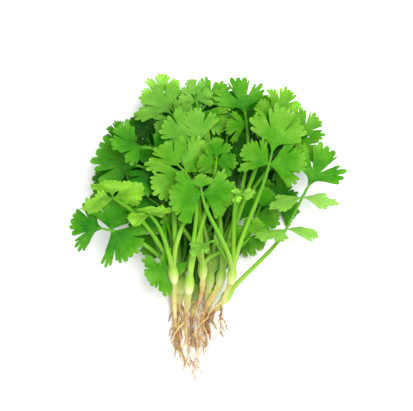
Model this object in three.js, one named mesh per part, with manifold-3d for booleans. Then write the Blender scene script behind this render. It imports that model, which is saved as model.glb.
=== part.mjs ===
// A bunch of fresh coriander, pulled up with its roots and laid down on a table.
// Twelve plants lie in a heap, placed one on another from the lowest up. Each plant is a green
// body, of a crown with leaf stalks and lobed leaflets, and a pale taproot with side rootlets.
// Millimetres, +Z up. +Y runs from the roots to the leaf tips, and the table is at Z = 0.

import * as THREE from "three";
import Module from "manifold-3d";

const wasm = await Module();
wasm.setup();

// ---- driving dimensions, mm
const boxShift = [-7.8, -41.8]; // brings the middle of the bunch's box to the origin
const bladeThick = 0.7; // leaf blades
const crownRadius = 3.9; // the swollen sheath that a plant's leaf stalks rise from
const crownAbove = 7; // its length above and below its middle
const crownBelow = 9;
const crownProfile = [0.66, 1, 0.84]; // its radii from the top, as shares of the largest
const crownShoulder = 0.6; // where the last of them is, share of the way down from the middle
const flatSink = 1; // pared off a crown that lies on the table, which leaves a flat spot
const stalkRadii = [2, 1.6, 1.4, 1]; // a leaf stalk, from the crown to the leaf
const stalkStart = 0.3; // where it starts, share of the way from the crown's middle to its top
const stalkLead = 0.36; // how far it keeps the crown's way, and the leaf's, share of its length
const stalkTail = 0.3;
const leanShare = 0.6; // of the crown's lean in a stalk's first way, the rest being toward its leaf
const ribRadius = 0.7; // where the stalk runs out in the end leaflet
const ribShare = 0.08; // of that leaflet's length
const rootletRadii = [0.8, 0.6, 0.4];
const rootTipRadius = 0.45;
const rootletStarts = [0.4, 0.68]; // shares of the way down the taproot
const rootTaper = 1.1; // 1 is an even taper
const rootNeck = 2.5; // the root's straight start
const jointGap = 0.3; // between a crown and its root
const clearance = 0.7; // kept between one plant and the next
const moundHeight = 24; // the leaves' height that springy stalks hold, at the middle of the heap
const moundCentre = [0, 82];
const moundReach = [95, 85]; // from its middle to where the mound runs out, across and along

// ---- counts and steps
const stalkSides = 4;
const crownSides = 5;
const rootSides = 4;
const rootletSides = 3;
const routeSteps = 24; // steps along a stalk or root while it is laid
const ringStride = 4; // its tube has a ring at every fourth step
const rootletChecks = [0.3, 0.45, 0.6, 0.8, 1]; // shares of a rootlet where it is held clear
const settlePasses = 120;
const tiltStep = 3; // degrees that a leaflet is raised at a time, to clear what it lies on
const tiltLimit = 36;
const liftStep = 1; // mm that the whole leaf is raised at a time after that
const edgeSpots = 3; // spots of a blade tried against the heap, to each step of its edge
const spotSpacing = 3.5; // mm between them, from the hub outwards

// A leaflet's edge on one side of its midrib, from the stalk to the tip, as
// [degrees from the midrib, share of the leaflet's length]. Teeth stand out between notches,
// and the deepest notches part the lobes.
const fanEdge = [[46, 0.42], [57, 0.76], [43, 0.96], [21, 0.6], [17.5, 0.93], [7, 0.95]];
const wingEdge = [[58, 0.78], [49, 0.92], [29, 0.62], [15, 0.97]];
const hubShare = 0.24; // the blade's triangles fan out from this share of the midrib
const endStalk = 0.2; // from the side leaflets to the end leaflet, share of the leaf's size
const endRise = 1.2; // mm that the end leaflet stands above them
const sideScale = 0.78; // side leaflets against the leaf's size
const lowerScale = 0.62; // a second, lower pair
const sideSpread = 74; // degrees between the end leaflet and a side leaflet
const sideTwist = 12; // degrees that a side leaflet's inner edge dips under the end leaflet
const innerShare = 0.56; // width of a side leaflet's inner half, against its outer half
const endTilt = 4; // degrees that the end leaflet's tip is raised above the leaf, and a side one's
const sideTilt = -6;

// What is drawn for each leaflet and rootlet, as [least, span].
const widthDraw = [1.02, 0.16];
const foldDraw = [-0.06, 0.22]; // rise of the blade's edges, share of its half width
const droopDraw = [0.02, 0.12]; // fall of its tip, share of its length
const waveDraw = [0.03, 0.04]; // height of its waves, share of its length
const tiltDraw = [-4, 8];
const turnDraw = [-6, 12];
const asideDraw = [0.5, 0.5]; // how far a rootlet runs aside from its taproot, and its reach
const reachDraw = [7, 9];

// ---- the plants, from the lowest in the heap to the topmost
// crown: middle of the sheath. lean: degrees clockwise from +Y. root: the taproot's way to its
// tip. Each leaf: at: where its side leaflets join, turn: degrees clockwise from +Y that it
// points, size: from that joint to its tip, pitch and roll: degrees that its tip and left side
// are raised. A leaf may have its own spread: angle of the side leaflets, skew: turn that both
// share, sides: their scale, pair: distance back to a second pair, lower: its scale, hang: twist
// of the side leaflets about their own ribs, twist: that of the end leaflet, wide: least width,
// via: degrees that its stalk points where it arrives.
const plants = [
  { crown: [-4, -6], lean: 2, root: [[-6, -22], [-8, -36], [-5, -50]], thick: 2.8, leaves: [
    { at: [-52, 72], turn: -60, size: 31, pitch: 0, roll: 0, wide: 1.2 },
    { at: [0, 100], turn: -10, size: 32, pitch: 0, roll: 0, wide: 1.25 },
    { at: [44, 80], turn: 40, size: 28, pitch: 0, roll: 0, wide: 1.25 },
    { at: [6, 36], turn: 4, size: 32, pitch: 0, roll: 0, wide: 1.25 },
    { at: [16, 116], turn: 14, size: 32, pitch: 0, roll: 0, wide: 1.25 },
  ] },
  { crown: [8, -8], lean: 8, root: [[5, -22], [6, -36], [3, -48]], thick: 2.8, leaves: [
    { at: [59, 58], turn: 20, size: 21, pitch: 0, roll: 0, wide: 1.2 },
    { at: [38, 112], turn: 14, size: 36, pitch: 0, roll: 0, wide: 1.2 },
    { at: [58, 100], turn: 50, size: 27, pitch: 0, roll: 0, wide: 1.2 },
    { at: [-14, 78], turn: -25, size: 30, pitch: 0, roll: 0, wide: 1.3 },
    { at: [-20, 112], turn: -30, size: 30, pitch: 0, roll: 0, wide: 1.25 },
  ] },
  { crown: [-14, 2], lean: -4, root: [[-15, -12], [-17, -28], [-20, -42]], thick: 2.7, leaves: [
    { at: [-37, 105], turn: -32, size: 26, pitch: 0, roll: 0, wide: 1.25 },
    { at: [30, 80], turn: 8, size: 30, pitch: 0, roll: 0, wide: 1.25 },
    { at: [-30, 78], turn: -40, size: 30, pitch: 0, roll: 0, wide: 1.25 },
    { at: [-12, 40], turn: -16, size: 25, pitch: 0, roll: 0, wide: 1.2 },
  ] },
  { crown: [-23, 3], lean: -10, root: [[-21.5, -12], [-20, -26], [-18, -40], [-17, -52]],
    thick: 3, leaves: [
      { at: [-33, 47], turn: 195, size: 27, pitch: -2, roll: 0, wide: 1.15 },
      { at: [-31.5, 62], turn: -70, size: 28, pitch: 0, roll: 0, wide: 1.2 },
      { at: [-60, 107], turn: -5, size: 17, pitch: 6, roll: 0 },
      { at: [-29, 139], turn: -2, size: 20, pitch: 5, roll: 10, wide: 1.1 },
    ] },
  { crown: [7.5, 4], lean: 5, root: [[5, -12], [4, -25], [1, -35], [-1, -49]], thick: 3.2, leaves: [
    { at: [71, 108], turn: 46, size: 26, pitch: -4, roll: 8, wide: 1.1 },
    { at: [43, 53], turn: 26, size: 23, pitch: 4, roll: -10, wide: 1.1 },
    { at: [20, 106], turn: 2, size: 24, pitch: 6, roll: 6, wide: 1.15 },
    { at: [0, 130], turn: 44, size: 29, pitch: 0, roll: -12 },
    { at: [30, 29], turn: 26, size: 17, pitch: 8, roll: 8, wide: 1.1 },
  ] },
  { crown: [16, 6], lean: 10, root: [[9.5, -7], [4, -17], [0, -26], [-6, -38], [-4, -52], [-1, -68]],
    thick: 3.2, leaves: [
      { at: [35, 121], turn: -9, size: 36, pitch: 10, roll: 6, spread: 84, sides: 0.5 },
      { at: [-3, 138], turn: -14, size: 17, pitch: 14, roll: 0, spread: 66 },
      { at: [57, 125], turn: 22, size: 24, pitch: 6, roll: -8, wide: 1.1 },
    ] },
  { crown: [2, 12], lean: -2, root: [[1.5, -8], [-3, -20], [-4, -30]], thick: 2.8, leaves: [
    { at: [-18.5, 124], turn: -38, size: 31, pitch: 4, roll: -6, spread: 84, sides: 0.56, wide: 1.25 },
    { at: [-34, 62], turn: -55, size: 28, pitch: 0, roll: 0, wide: 1.2 },
    { at: [36, 34], turn: 34, size: 18, pitch: 4, roll: 0, wide: 1.1 },
  ] },
  { crown: [-16, 0], lean: -10, root: [[-17, -14], [-15.5, -25], [-8, -36]], thick: 3, leaves: [
    { at: [-24, 44], turn: -20, size: 9, pitch: 20, roll: 20 },
    { at: [-66.5, 41], turn: -80, size: 31, pitch: -4, roll: 0, spread: 112, skew: -24, sides: 0.82,
      wide: 1.3 },
    { at: [-37, 86], turn: -72, size: 43, pitch: 0, roll: 8, sides: 0.5, wide: 1.2 },
    { at: [-34, 101], turn: -80, size: 35, pitch: -4, roll: 4, twist: 50, hang: 20, spread: 120,
      sides: 0.4, wide: 1, via: -50 },
    { at: [-64, 65], turn: -8, size: 25, pitch: 48, roll: -4, spread: 76, sides: 0.98, wide: 1.15,
      via: -62 },
  ] },
  { crown: [20, -9], lean: 37, root: [[11, -19], [7, -25], [5.5, -30]], thick: 3.2, leaves: [
    { at: [77, 66], turn: 27, size: 43, pitch: 4, roll: 4, hang: -93, pair: 27, spread: 95, skew: -32,
      sides: 0.6, lower: 0.58 },
  ] },
  { crown: [-20, 9], lean: -8, root: [[-20, -8], [-20, -30], [-18, -46], [-16, -58], [-1, -75]],
    thick: 3, leaves: [
      { at: [-20, 17], turn: -125, size: 24, pitch: -8, roll: 0, sides: 0.45, wide: 1.35 },
      { at: [-37, 52.5], turn: -4, size: 15, pitch: 56, roll: 0, spread: 80, sides: 1.1, via: -46 },
      { at: [0, 107], turn: -68, size: 37, pitch: 2, roll: 8, spread: 54, sides: 0.7, wide: 0.95,
        via: -20 },
    ] },
  { crown: [-8, 1], lean: 3, root: [[-10, -14], [-12, -28], [-11.5, -40], [-9, -54], [-7, -63]],
    thick: 2.9, leaves: [
      { at: [-11, 84], turn: -43, size: 31, pitch: 4, roll: 0, spread: 70, sides: 0.9, wide: 1.1 },
      { at: [12, 91], turn: 5, size: 20, pitch: 14, roll: 0 },
    ] },
  { crown: [24, 7.5], lean: 6, root: [[19, -6], [15.5, -17], [15, -27], [16, -39]], thick: 2.6, leaves: [
    { at: [11, 33.5], turn: -112, size: 22, pitch: -4, roll: 0, twist: 56, spread: 140, sides: 0.22,
      wide: 0.8, via: -30 },
    { at: [1.5, 68.5], turn: -8, size: 15, pitch: 4, roll: 0, spread: 94, sides: 1.7, wide: 1.1 },
    { at: [51.5, 90], turn: 13, size: 45, pitch: 4, roll: 0, spread: 64, sides: 0.64, wide: 0.82 },
    { at: [27, 67.5], turn: 84, size: 14, pitch: 0, roll: 0, twist: 58, sides: 0.4, via: 10 },
  ] },
];

const green = new THREE.Color(0.28, 0.55, 0.09);
const tan = new THREE.Color(0.72, 0.55, 0.34);

const radians = THREE.MathUtils.degToRad;
const along = (degrees) => new THREE.Vector2(Math.sin(radians(degrees)), Math.cos(radians(degrees)));
const point2 = ([x, y]) => new THREE.Vector2(x, y);

// Repeatable random draws from 0 to 1.
function makeRandom(seed) {
  let state = seed;
  return () => {
    state = (state * 48271) % 2147483647;
    return state / 2147483647;
  };
}
const draw = (random, [least, span]) => least + span * random();

// ---- the heap: a map of how high what is laid already stands, over the table
const cell = 1.5;
const across = 190; // cells
const heapMiddle = 30; // Y of the map's middle
const heap = new Float64Array(across * across);
const cellOf = (v) => Math.min(Math.max(Math.floor(v / cell + across / 2), 1), across - 2);

function eachCell(x, y, reach, visit) {
  const middle = (i) => (i + 0.5 - across / 2) * cell;
  for (let i = cellOf(x - reach); i <= cellOf(x + reach); i++)
    for (let j = cellOf(y - heapMiddle - reach); j <= cellOf(y - heapMiddle + reach); j++) {
      const distance = Math.hypot(middle(i) - x, middle(j) + heapMiddle - y);
      if (distance < reach) visit(i * across + j, distance);
    }
}

// The lowest height at which a ball clears the heap and the table.
function ballRest(x, y, radius) {
  const reach = radius + clearance;
  let z = radius;
  eachCell(x, y, reach, (k, d) => {
    if (heap[k] > 0) z = Math.max(z, heap[k] + Math.sqrt(reach * reach - d * d));
  });
  return z;
}

function coverBall(x, y, z, radius) {
  eachCell(x, y, radius + cell / 2, (k, d) => {
    heap[k] = Math.max(heap[k], z + Math.sqrt(Math.max(radius * radius - d * d, 0)));
  });
}

function coverStrand({ centres, radii }) {
  for (let i = 0; i + 1 < centres.length; i++) {
    const steps = Math.ceil(centres[i].distanceTo(centres[i + 1]) / cell);
    for (let s = 0; s <= steps; s++) {
      const p = centres[i].clone().lerp(centres[i + 1], s / steps);
      coverBall(p.x, p.y, p.z, radii[i] + ((radii[i + 1] - radii[i]) * s) / steps);
    }
  }
}

// The lowest height at which a spot of a leaf blade clears the heap and the table.
function spotRest(x, y) {
  const top = heap[cellOf(x) * across + cellOf(y - heapMiddle)];
  return (top > 0 ? top + clearance : 0) + bladeThick / 2;
}

// A spot of a blade covers its own cell and those around it.
function coverSpot(x, y, z) {
  for (const i of [-1, 0, 1])
    for (const j of [-1, 0, 1]) {
      const k = (cellOf(x) + i) * across + cellOf(y - heapMiddle) + j;
      heap[k] = Math.max(heap[k], z + bladeThick / 2);
    }
}

// Lays a strand on the heap, pulled taut in height with its ends held. Its rings stand at every
// few steps of its route, each over all that lies under the steps beside it.
function layStrand(route, radii, first, last) {
  const floors = route.map((p, i) => ballRest(p.x, p.y, radii[i]));
  const n = (route.length - 1) / ringStride;
  const under = (k) =>
    Math.max(...floors.slice(Math.max(k * ringStride - ringStride + 1, 0), (k + 1) * ringStride));
  const z = [...Array(n + 1).keys()].map(under);
  z[0] = first;
  z[n] = last ?? floors[route.length - 1];
  const rest = z.slice();
  for (let pass = 0; pass < settlePasses; pass++)
    for (let k = 1; k < n; k++) z[k] = Math.max(rest[k], (z[k - 1] + z[k + 1]) / 2);
  const centres = route.map((p, i) => new THREE.Vector3(p.x, p.y, alongTable(z, i / (n * ringStride))));
  return { centres, radii };
}

// The strand's rings, which its tube is made through.
const ringsOf = ({ centres, radii }) => ({
  centres: centres.filter((_, i) => i % ringStride === 0),
  radii: radii.filter((_, i) => i % ringStride === 0),
});

function alongTable(values, share) {
  const at = share * (values.length - 1);
  const i = Math.min(Math.floor(at), values.length - 2);
  return values[i] + (values[i + 1] - values[i]) * (at - i);
}

// ---- solids
function solidFrom(positions, index) {
  return new wasm.Manifold(
    new wasm.Mesh({
      numProp: 3,
      vertProperties: new Float32Array(positions),
      triVerts: new Uint32Array(index),
    }),
  );
}

// A closed tapered tube through centres, with a radius at each.
function tube({ centres, radii }, sides) {
  const up = new THREE.Vector3(0, 0, 1);
  const positions = [];
  const index = [];
  centres.forEach((c, i) => {
    const from = centres[Math.max(i - 1, 0)];
    const to = centres[Math.min(i + 1, centres.length - 1)];
    const side = to.clone().sub(from).cross(up).normalize();
    const over = side.clone().cross(to.clone().sub(from)).normalize();
    for (let k = 0; k < sides; k++) {
      const a = ((k + 0.5) * 2 * Math.PI) / sides - Math.PI / 2;
      const p = c.clone().addScaledVector(side, Math.cos(a) * radii[i]);
      p.addScaledVector(over, Math.sin(a) * radii[i]);
      positions.push(p.x, p.y, p.z);
    }
  });
  const ring = (i, k) => i * sides + (k % sides);
  for (let i = 0; i + 1 < centres.length; i++)
    for (let k = 0; k < sides; k++)
      index.push(
        ring(i, k), ring(i + 1, k), ring(i, k + 1),
        ring(i, k + 1), ring(i + 1, k), ring(i + 1, k + 1),
      );
  const end = centres.length - 1;
  for (let k = 1; k + 1 < sides; k++)
    index.push(ring(0, 0), ring(0, k), ring(0, k + 1), ring(end, 0), ring(end, k + 1), ring(end, k));
  return solidFrom(positions, index);
}

// ---- leaves
// A leaflet's whole edge. An inner side, next to the end leaflet, is narrower.
const wholeEdge = ({ edge, inner }) =>
  [...edge, [0, 1], ...edge.map(([angle, share]) => [-angle * inner, share]).reverse()];

function leafletsOf(leaf, random) {
  const spread = leaf.spread ?? sideSpread;
  const list = [{
    y: endStalk * leaf.size, z: endRise, turn: 0, twist: leaf.twist ?? 0, side: 1, tilt: endTilt,
    size: (1 - endStalk) * leaf.size, edge: fanEdge, inner: 1,
  }];
  const sides = leaf.sides ?? sideScale;
  const pairs = leaf.pair ? [[0, sides], [-leaf.pair, leaf.lower ?? lowerScale]] : [[0, sides]];
  for (const [y, scale] of pairs)
    for (const side of [-1, 1])
      list.push({
        y, z: 0, side, turn: side * spread + (leaf.skew ?? 0), twist: side * (sideTwist + (leaf.hang ?? 0)),
        tilt: sideTilt, size: leaf.size * scale, edge: wingEdge, inner: innerShare,
      });
  for (const one of list) {
    one.width = draw(random, [leaf.wide ?? widthDraw[0], widthDraw[1]]);
    one.fold = draw(random, foldDraw);
    one.droop = draw(random, droopDraw);
    one.wave = draw(random, waveDraw);
    one.phase = 2 * Math.PI * random();
    one.tilt += draw(random, tiltDraw);
    one.turn += draw(random, turnDraw);
  }
  return list;
}

const turnBy = (turn, pitch, roll) =>
  new THREE.Matrix4()
    .makeRotationZ(-radians(turn))
    .multiply(new THREE.Matrix4().makeRotationX(radians(pitch)))
    .multiply(new THREE.Matrix4().makeRotationY(radians(roll)));

// A leaflet's points in its own frame: across, along and out of its blade.
function bladePoint(one, angle, share, lift) {
  const a = radians(angle);
  const x = Math.sin(a) * share * one.width * one.side;
  const bend = one.fold * Math.abs(x) - one.droop * share * share
    + one.wave * share * share * Math.sin(3 * a + one.phase);
  return new THREE.Vector3(x * one.size, Math.cos(a) * share * one.size, bend * one.size + lift);
}

// From a leaflet's frame to one with the leaf's joint at the origin, with its tip raised.
const placeLeaflet = (leafMatrix, one, raised) =>
  leafMatrix.clone()
    .multiply(new THREE.Matrix4().makeTranslation(0, one.y, one.z))
    .multiply(turnBy(one.turn, one.tilt + raised, one.twist));

// The blade's corners: its hub, its base, then its edge.
const cornersOf = (one, lift) =>
  [[0, hubShare], [0, 0], ...wholeEdge(one)].map(([angle, share]) => bladePoint(one, angle, share, lift));

// Spots spread over the flat triangles between the hub and the edge.
function bladeSpots(one, matrix) {
  const [hub, ...edge] = cornersOf(one, 0).map((p) => p.applyMatrix4(matrix));
  const rows = Math.ceil(one.size / spotSpacing);
  const spots = [];
  edge.forEach((from, i) => {
    const to = edge[(i + 1) % edge.length];
    for (let t = 0; t < edgeSpots; t++)
      for (let row = 1; row <= rows; row++)
        spots.push(hub.clone().lerp(from.clone().lerp(to, t / edgeSpots), row / rows));
  });
  return spots;
}

// The least that a leaflet is raised to clear the heap with its joint at this place, or none.
function raiseNeeded(leafMatrix, one, joint) {
  for (let raised = 0; raised <= tiltLimit; raised += tiltStep) {
    const clears = bladeSpots(one, placeLeaflet(leafMatrix, one, raised))
      .every((p) => joint.z + p.z >= spotRest(joint.x + p.x, joint.y + p.y));
    if (clears) return raised;
  }
  return undefined;
}

// Sets a leaf down on the heap: its joint's place, and how far each leaflet is raised.
function settleLeaf(leaf, leafMatrix, leaflets, rank) {
  const distance = Math.hypot(
    (leaf.at[0] - moundCentre[0]) / moundReach[0], (leaf.at[1] - moundCentre[1]) / moundReach[1],
  );
  const held = moundHeight * rank * Math.max(1 - distance * distance, 0);
  const joint = new THREE.Vector3(leaf.at[0], leaf.at[1], 0);
  joint.z = Math.max(held, ballRest(joint.x, joint.y, stalkRadii[3]) + liftStep);
  for (;;) {
    const raised = leaflets.map((one) => raiseNeeded(leafMatrix, one, joint));
    if (raised.every((r) => r !== undefined)) return { joint, raised };
    joint.z += liftStep;
  }
}

function bladeSolid(one, matrix, joint) {
  const upper = cornersOf(one, bladeThick / 2);
  const lower = cornersOf(one, -bladeThick / 2);
  const positions = [...upper, ...lower].flatMap((p) => p.applyMatrix4(matrix).add(joint).toArray());
  const n = upper.length;
  const index = [];
  for (let a = 1; a < n; a++) {
    const b = a + 1 < n ? a + 1 : 1;
    const [p, q] = one.side > 0 ? [a, b] : [b, a];
    index.push(0, p, q, n, n + q, n + p, q, p, n + p, q, n + p, n + q);
  }
  return solidFrom(positions, index);
}

// The way of a leaf stalk over the table: it leaves the crown fanning out and arrives in line.
function stalkRoute(crownTop, lean, tail, turn) {
  const start = new THREE.Vector2(crownTop.x, crownTop.y);
  const end = new THREE.Vector2(tail.x, tail.y);
  const reach = start.distanceTo(end);
  const toward = THREE.MathUtils.radToDeg(Math.atan2(end.x - start.x, end.y - start.y));
  return new THREE.CubicBezierCurve(
    start,
    start.clone().addScaledVector(along(leanShare * lean + (1 - leanShare) * toward), stalkLead * reach),
    end.clone().addScaledVector(along(turn), -stalkTail * reach),
    end,
  ).getPoints(routeSteps);
}

function growLeaf(plant, crownTop, leaf, rank, random) {
  const leafMatrix = turnBy(leaf.turn, leaf.pitch, leaf.roll);
  const leaflets = leafletsOf(leaf, random);
  const { joint, raised } = settleLeaf(leaf, leafMatrix, leaflets, rank);
  const matrices = leaflets.map((one, i) => placeLeaflet(leafMatrix, one, raised[i]));
  const tail = new THREE.Vector3(0, -(leaf.pair ?? 0), 0).applyMatrix4(leafMatrix).add(joint);
  const route = stalkRoute(crownTop, plant.lean, tail, leaf.via ?? leaf.turn);
  const radii = route.map((_, i) => alongTable(stalkRadii, i / routeSteps));
  const strand = layStrand(route, radii, crownTop.z, tail.z);
  leaflets.forEach((one, i) => {
    for (const p of bladeSpots(one, matrices[i])) coverSpot(joint.x + p.x, joint.y + p.y, joint.z + p.z);
  });

  const rings = ringsOf(strand);
  if (leaf.pair) {
    rings.centres.push(joint.clone());
    rings.radii.push(stalkRadii[3]);
  }
  rings.centres.push(bladePoint(leaflets[0], 0, ribShare, 0).applyMatrix4(matrices[0]).add(joint));
  rings.radii.push(ribRadius);
  const blades = leaflets.map((one, i) => bladeSolid(one, matrices[i], joint));
  return { solids: [tube(rings, stalkSides), ...blades], strand };
}

// ---- crowns and roots
// A crown lies level on the heap.
function layCrown(plant) {
  const ends = [crownAbove, 0, -crownBelow]
    .map((d) => point2(plant.crown).addScaledVector(along(plant.lean), d));
  const rest = Math.max(...ends.map((p) => ballRest(p.x, p.y, crownRadius)));
  const z = rest > crownRadius ? rest : crownRadius - flatSink;
  return ends.map((p) => new THREE.Vector3(p.x, p.y, z));
}

function growCrown([top, middle, joint], thick) {
  const centres = [top, middle, middle.clone().lerp(joint, crownShoulder), joint];
  const radii = crownProfile.map((share) => share * crownRadius);
  return tube({ centres, radii: [...radii, thick] }, crownSides);
}

// The taproot goes on straight from the crown for a little, then along its own way to its tip.
function layRoot(plant, [, middle, joint]) {
  const down = joint.clone().sub(middle).normalize();
  const start = joint.clone().addScaledVector(down, rootNeck);
  const way = new THREE.SplineCurve([new THREE.Vector2(start.x, start.y), ...plant.root.map(point2)]);
  const radii = [...Array(routeSteps + 1).keys()]
    .map((i) => Math.max(plant.thick * (1 - i / routeSteps) ** rootTaper, rootTipRadius));
  const strand = layStrand(way.getPoints(routeSteps), radii, joint.z);
  return { strand, top: joint.clone().addScaledVector(down, jointGap) };
}

// A rootlet leaves the taproot sideways and runs out straight, just clear of what is under it.
function growRootlet(strand, share, random) {
  const i = Math.round(share * routeSteps);
  const from = strand.centres[i];
  const ahead = strand.centres[i + 1].clone().sub(from).setZ(0).normalize();
  const side = (random() < 0.5 ? -1 : 1) * draw(random, asideDraw);
  const aside = new THREE.Vector3(-ahead.y, ahead.x, 0).multiplyScalar(side);
  const reach = draw(random, reachDraw);
  const at = (s) =>
    from.clone().addScaledVector(ahead, reach * s).addScaledVector(aside, reach * s * (1.1 - 0.5 * s));
  const slopes = rootletChecks.map((s) => (ballRest(at(s).x, at(s).y, rootletRadii[0]) - from.z) / s);
  const slope = Math.max(...slopes);
  const centres = [0, 0.45, 1].map((s) => at(s).setZ(from.z + slope * s));
  return { centres, radii: rootletRadii };
}

// ---- the bunch
function meshOf(name, solids, colour, roughness) {
  const whole = wasm.Manifold.union(solids).simplify(0.01);
  const made = whole.decompose().sort((a, b) => b.volume() - a.volume())[0];
  const { vertProperties, triVerts } = made.getMesh();
  const geometry = new THREE.BufferGeometry()
    .setAttribute("position", new THREE.BufferAttribute(vertProperties, 3))
    .setIndex(new THREE.BufferAttribute(triVerts, 1));
  const material = new THREE.MeshStandardMaterial({ color: colour, roughness, metalness: 0 });
  const mesh = new THREE.Mesh(geometry, material);
  mesh.name = name;
  return mesh;
}

const bunch = new THREE.Group();
bunch.position.set(boxShift[0], boxShift[1], 0);

plants.forEach((plant, k) => {
  const random = makeRandom(101 + 37 * k);
  const number = String(k + 1).padStart(2, "0");
  const rank = k / (plants.length - 1);
  const crown = layCrown(plant);
  const root = layRoot(plant, crown);
  const crownTop = crown[1].clone().lerp(crown[0], stalkStart);
  const leaves = plant.leaves.map((leaf) => growLeaf(plant, crownTop, leaf, rank, random));
  const rootlets = rootletStarts.map((share) => growRootlet(root.strand, share, random));
  const sheath = { centres: crown, radii: crownProfile.map((share) => share * crownRadius) };
  for (const strand of [sheath, root.strand, ...rootlets, ...leaves.map((leaf) => leaf.strand)])
    coverStrand(strand);
  const taproot = ringsOf(root.strand);
  taproot.centres.unshift(root.top);
  taproot.radii.unshift(plant.thick);
  const pared = growCrown(crown, plant.thick).trimByPlane([0, 0, 1], 0);
  const greens = [pared, ...leaves.flatMap((leaf) => leaf.solids)];
  const roots = [tube(taproot, rootSides), ...rootlets.map((rootlet) => tube(rootlet, rootletSides))];
  bunch.add(meshOf(`plant_${number}_greens`, greens, green, 0.5));
  bunch.add(meshOf(`plant_${number}_root`, roots, tan, 0.8));
});

export default bunch;
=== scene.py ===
import math

import bpy
import numpy as np
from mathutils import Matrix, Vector


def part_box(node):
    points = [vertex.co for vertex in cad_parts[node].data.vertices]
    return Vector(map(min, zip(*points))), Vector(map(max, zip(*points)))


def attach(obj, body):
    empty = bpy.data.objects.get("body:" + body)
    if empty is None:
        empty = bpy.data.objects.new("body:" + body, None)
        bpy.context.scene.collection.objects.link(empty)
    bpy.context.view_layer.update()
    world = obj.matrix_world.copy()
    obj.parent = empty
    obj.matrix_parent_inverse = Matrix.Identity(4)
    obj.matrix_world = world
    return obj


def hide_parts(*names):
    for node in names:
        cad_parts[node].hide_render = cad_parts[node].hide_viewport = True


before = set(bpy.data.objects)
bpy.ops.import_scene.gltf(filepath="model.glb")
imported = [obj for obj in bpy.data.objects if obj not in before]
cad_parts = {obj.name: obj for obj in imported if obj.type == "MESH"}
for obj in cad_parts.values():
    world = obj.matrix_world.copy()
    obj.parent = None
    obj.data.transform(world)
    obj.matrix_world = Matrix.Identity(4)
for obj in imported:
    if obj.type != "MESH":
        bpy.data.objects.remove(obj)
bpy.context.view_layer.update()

mm = 0.001
print("frame loaded")

# How the plants lie, in millimetres. These are the part's own values: the leaves and roots are
# dropped on the heap in the same order, so each one comes down where its solid is.
lay = {
    "seed": 101, "seedStep": 37,
    "boxShift": (-7.8, -41.8), "bladeThick": 0.7, "clearance": 0.7,
    "crownRadius": 3.9, "crownAbove": 7, "crownBelow": 9, "crownProfile": (0.66, 1, 0.84),
    "crownShoulder": 0.6, "flatSink": 1,
    "stalkRadii": (2, 1.6, 1.4, 1), "stalkStart": 0.3, "stalkLead": 0.36, "stalkTail": 0.3,
    "leanShare": 0.6, "ribShare": 0.08,
    "rootletRadii": (0.8, 0.6, 0.4), "rootTipRadius": 0.45, "rootletStarts": (0.4, 0.68),
    "rootletBend": (1.1, -0.5), "rootletKnots": (0, 0.45, 1),
    "rootTaper": 1.1, "rootNeck": 2.5, "jointGap": 0.3,
    "moundHeight": 24, "moundCentre": (0, 82), "moundReach": (95, 85),
    "routeSteps": 24, "ringStride": 4, "rootletChecks": (0.3, 0.45, 0.6, 0.8, 1),
    "settlePasses": 120, "tiltStep": 3, "tiltLimit": 36, "liftStep": 1,
    "edgeSpots": 3, "spotSpacing": 3.5, "cell": 1.5, "across": 190, "heapMiddle": 30,
}
leafForm = {
    "fanEdge": [(46, 0.42), (57, 0.76), (43, 0.96), (21, 0.6), (17.5, 0.93), (7, 0.95)],
    "wingEdge": [(58, 0.78), (49, 0.92), (29, 0.62), (15, 0.97)],
    "hubShare": 0.24, "endStalk": 0.2, "endRise": 1.2, "sideScale": 0.78, "lowerScale": 0.62,
    "sideSpread": 74, "sideTwist": 12, "innerShare": 0.56, "endTilt": 4, "sideTilt": -6,
    "width": (1.02, 0.16), "fold": (-0.06, 0.22), "droop": (0.02, 0.12), "wave": (0.03, 0.04),
    "tilt": (-4, 8), "turn": (-6, 12), "aside": (0.5, 0.5), "reach": (7, 9),
}

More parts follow.
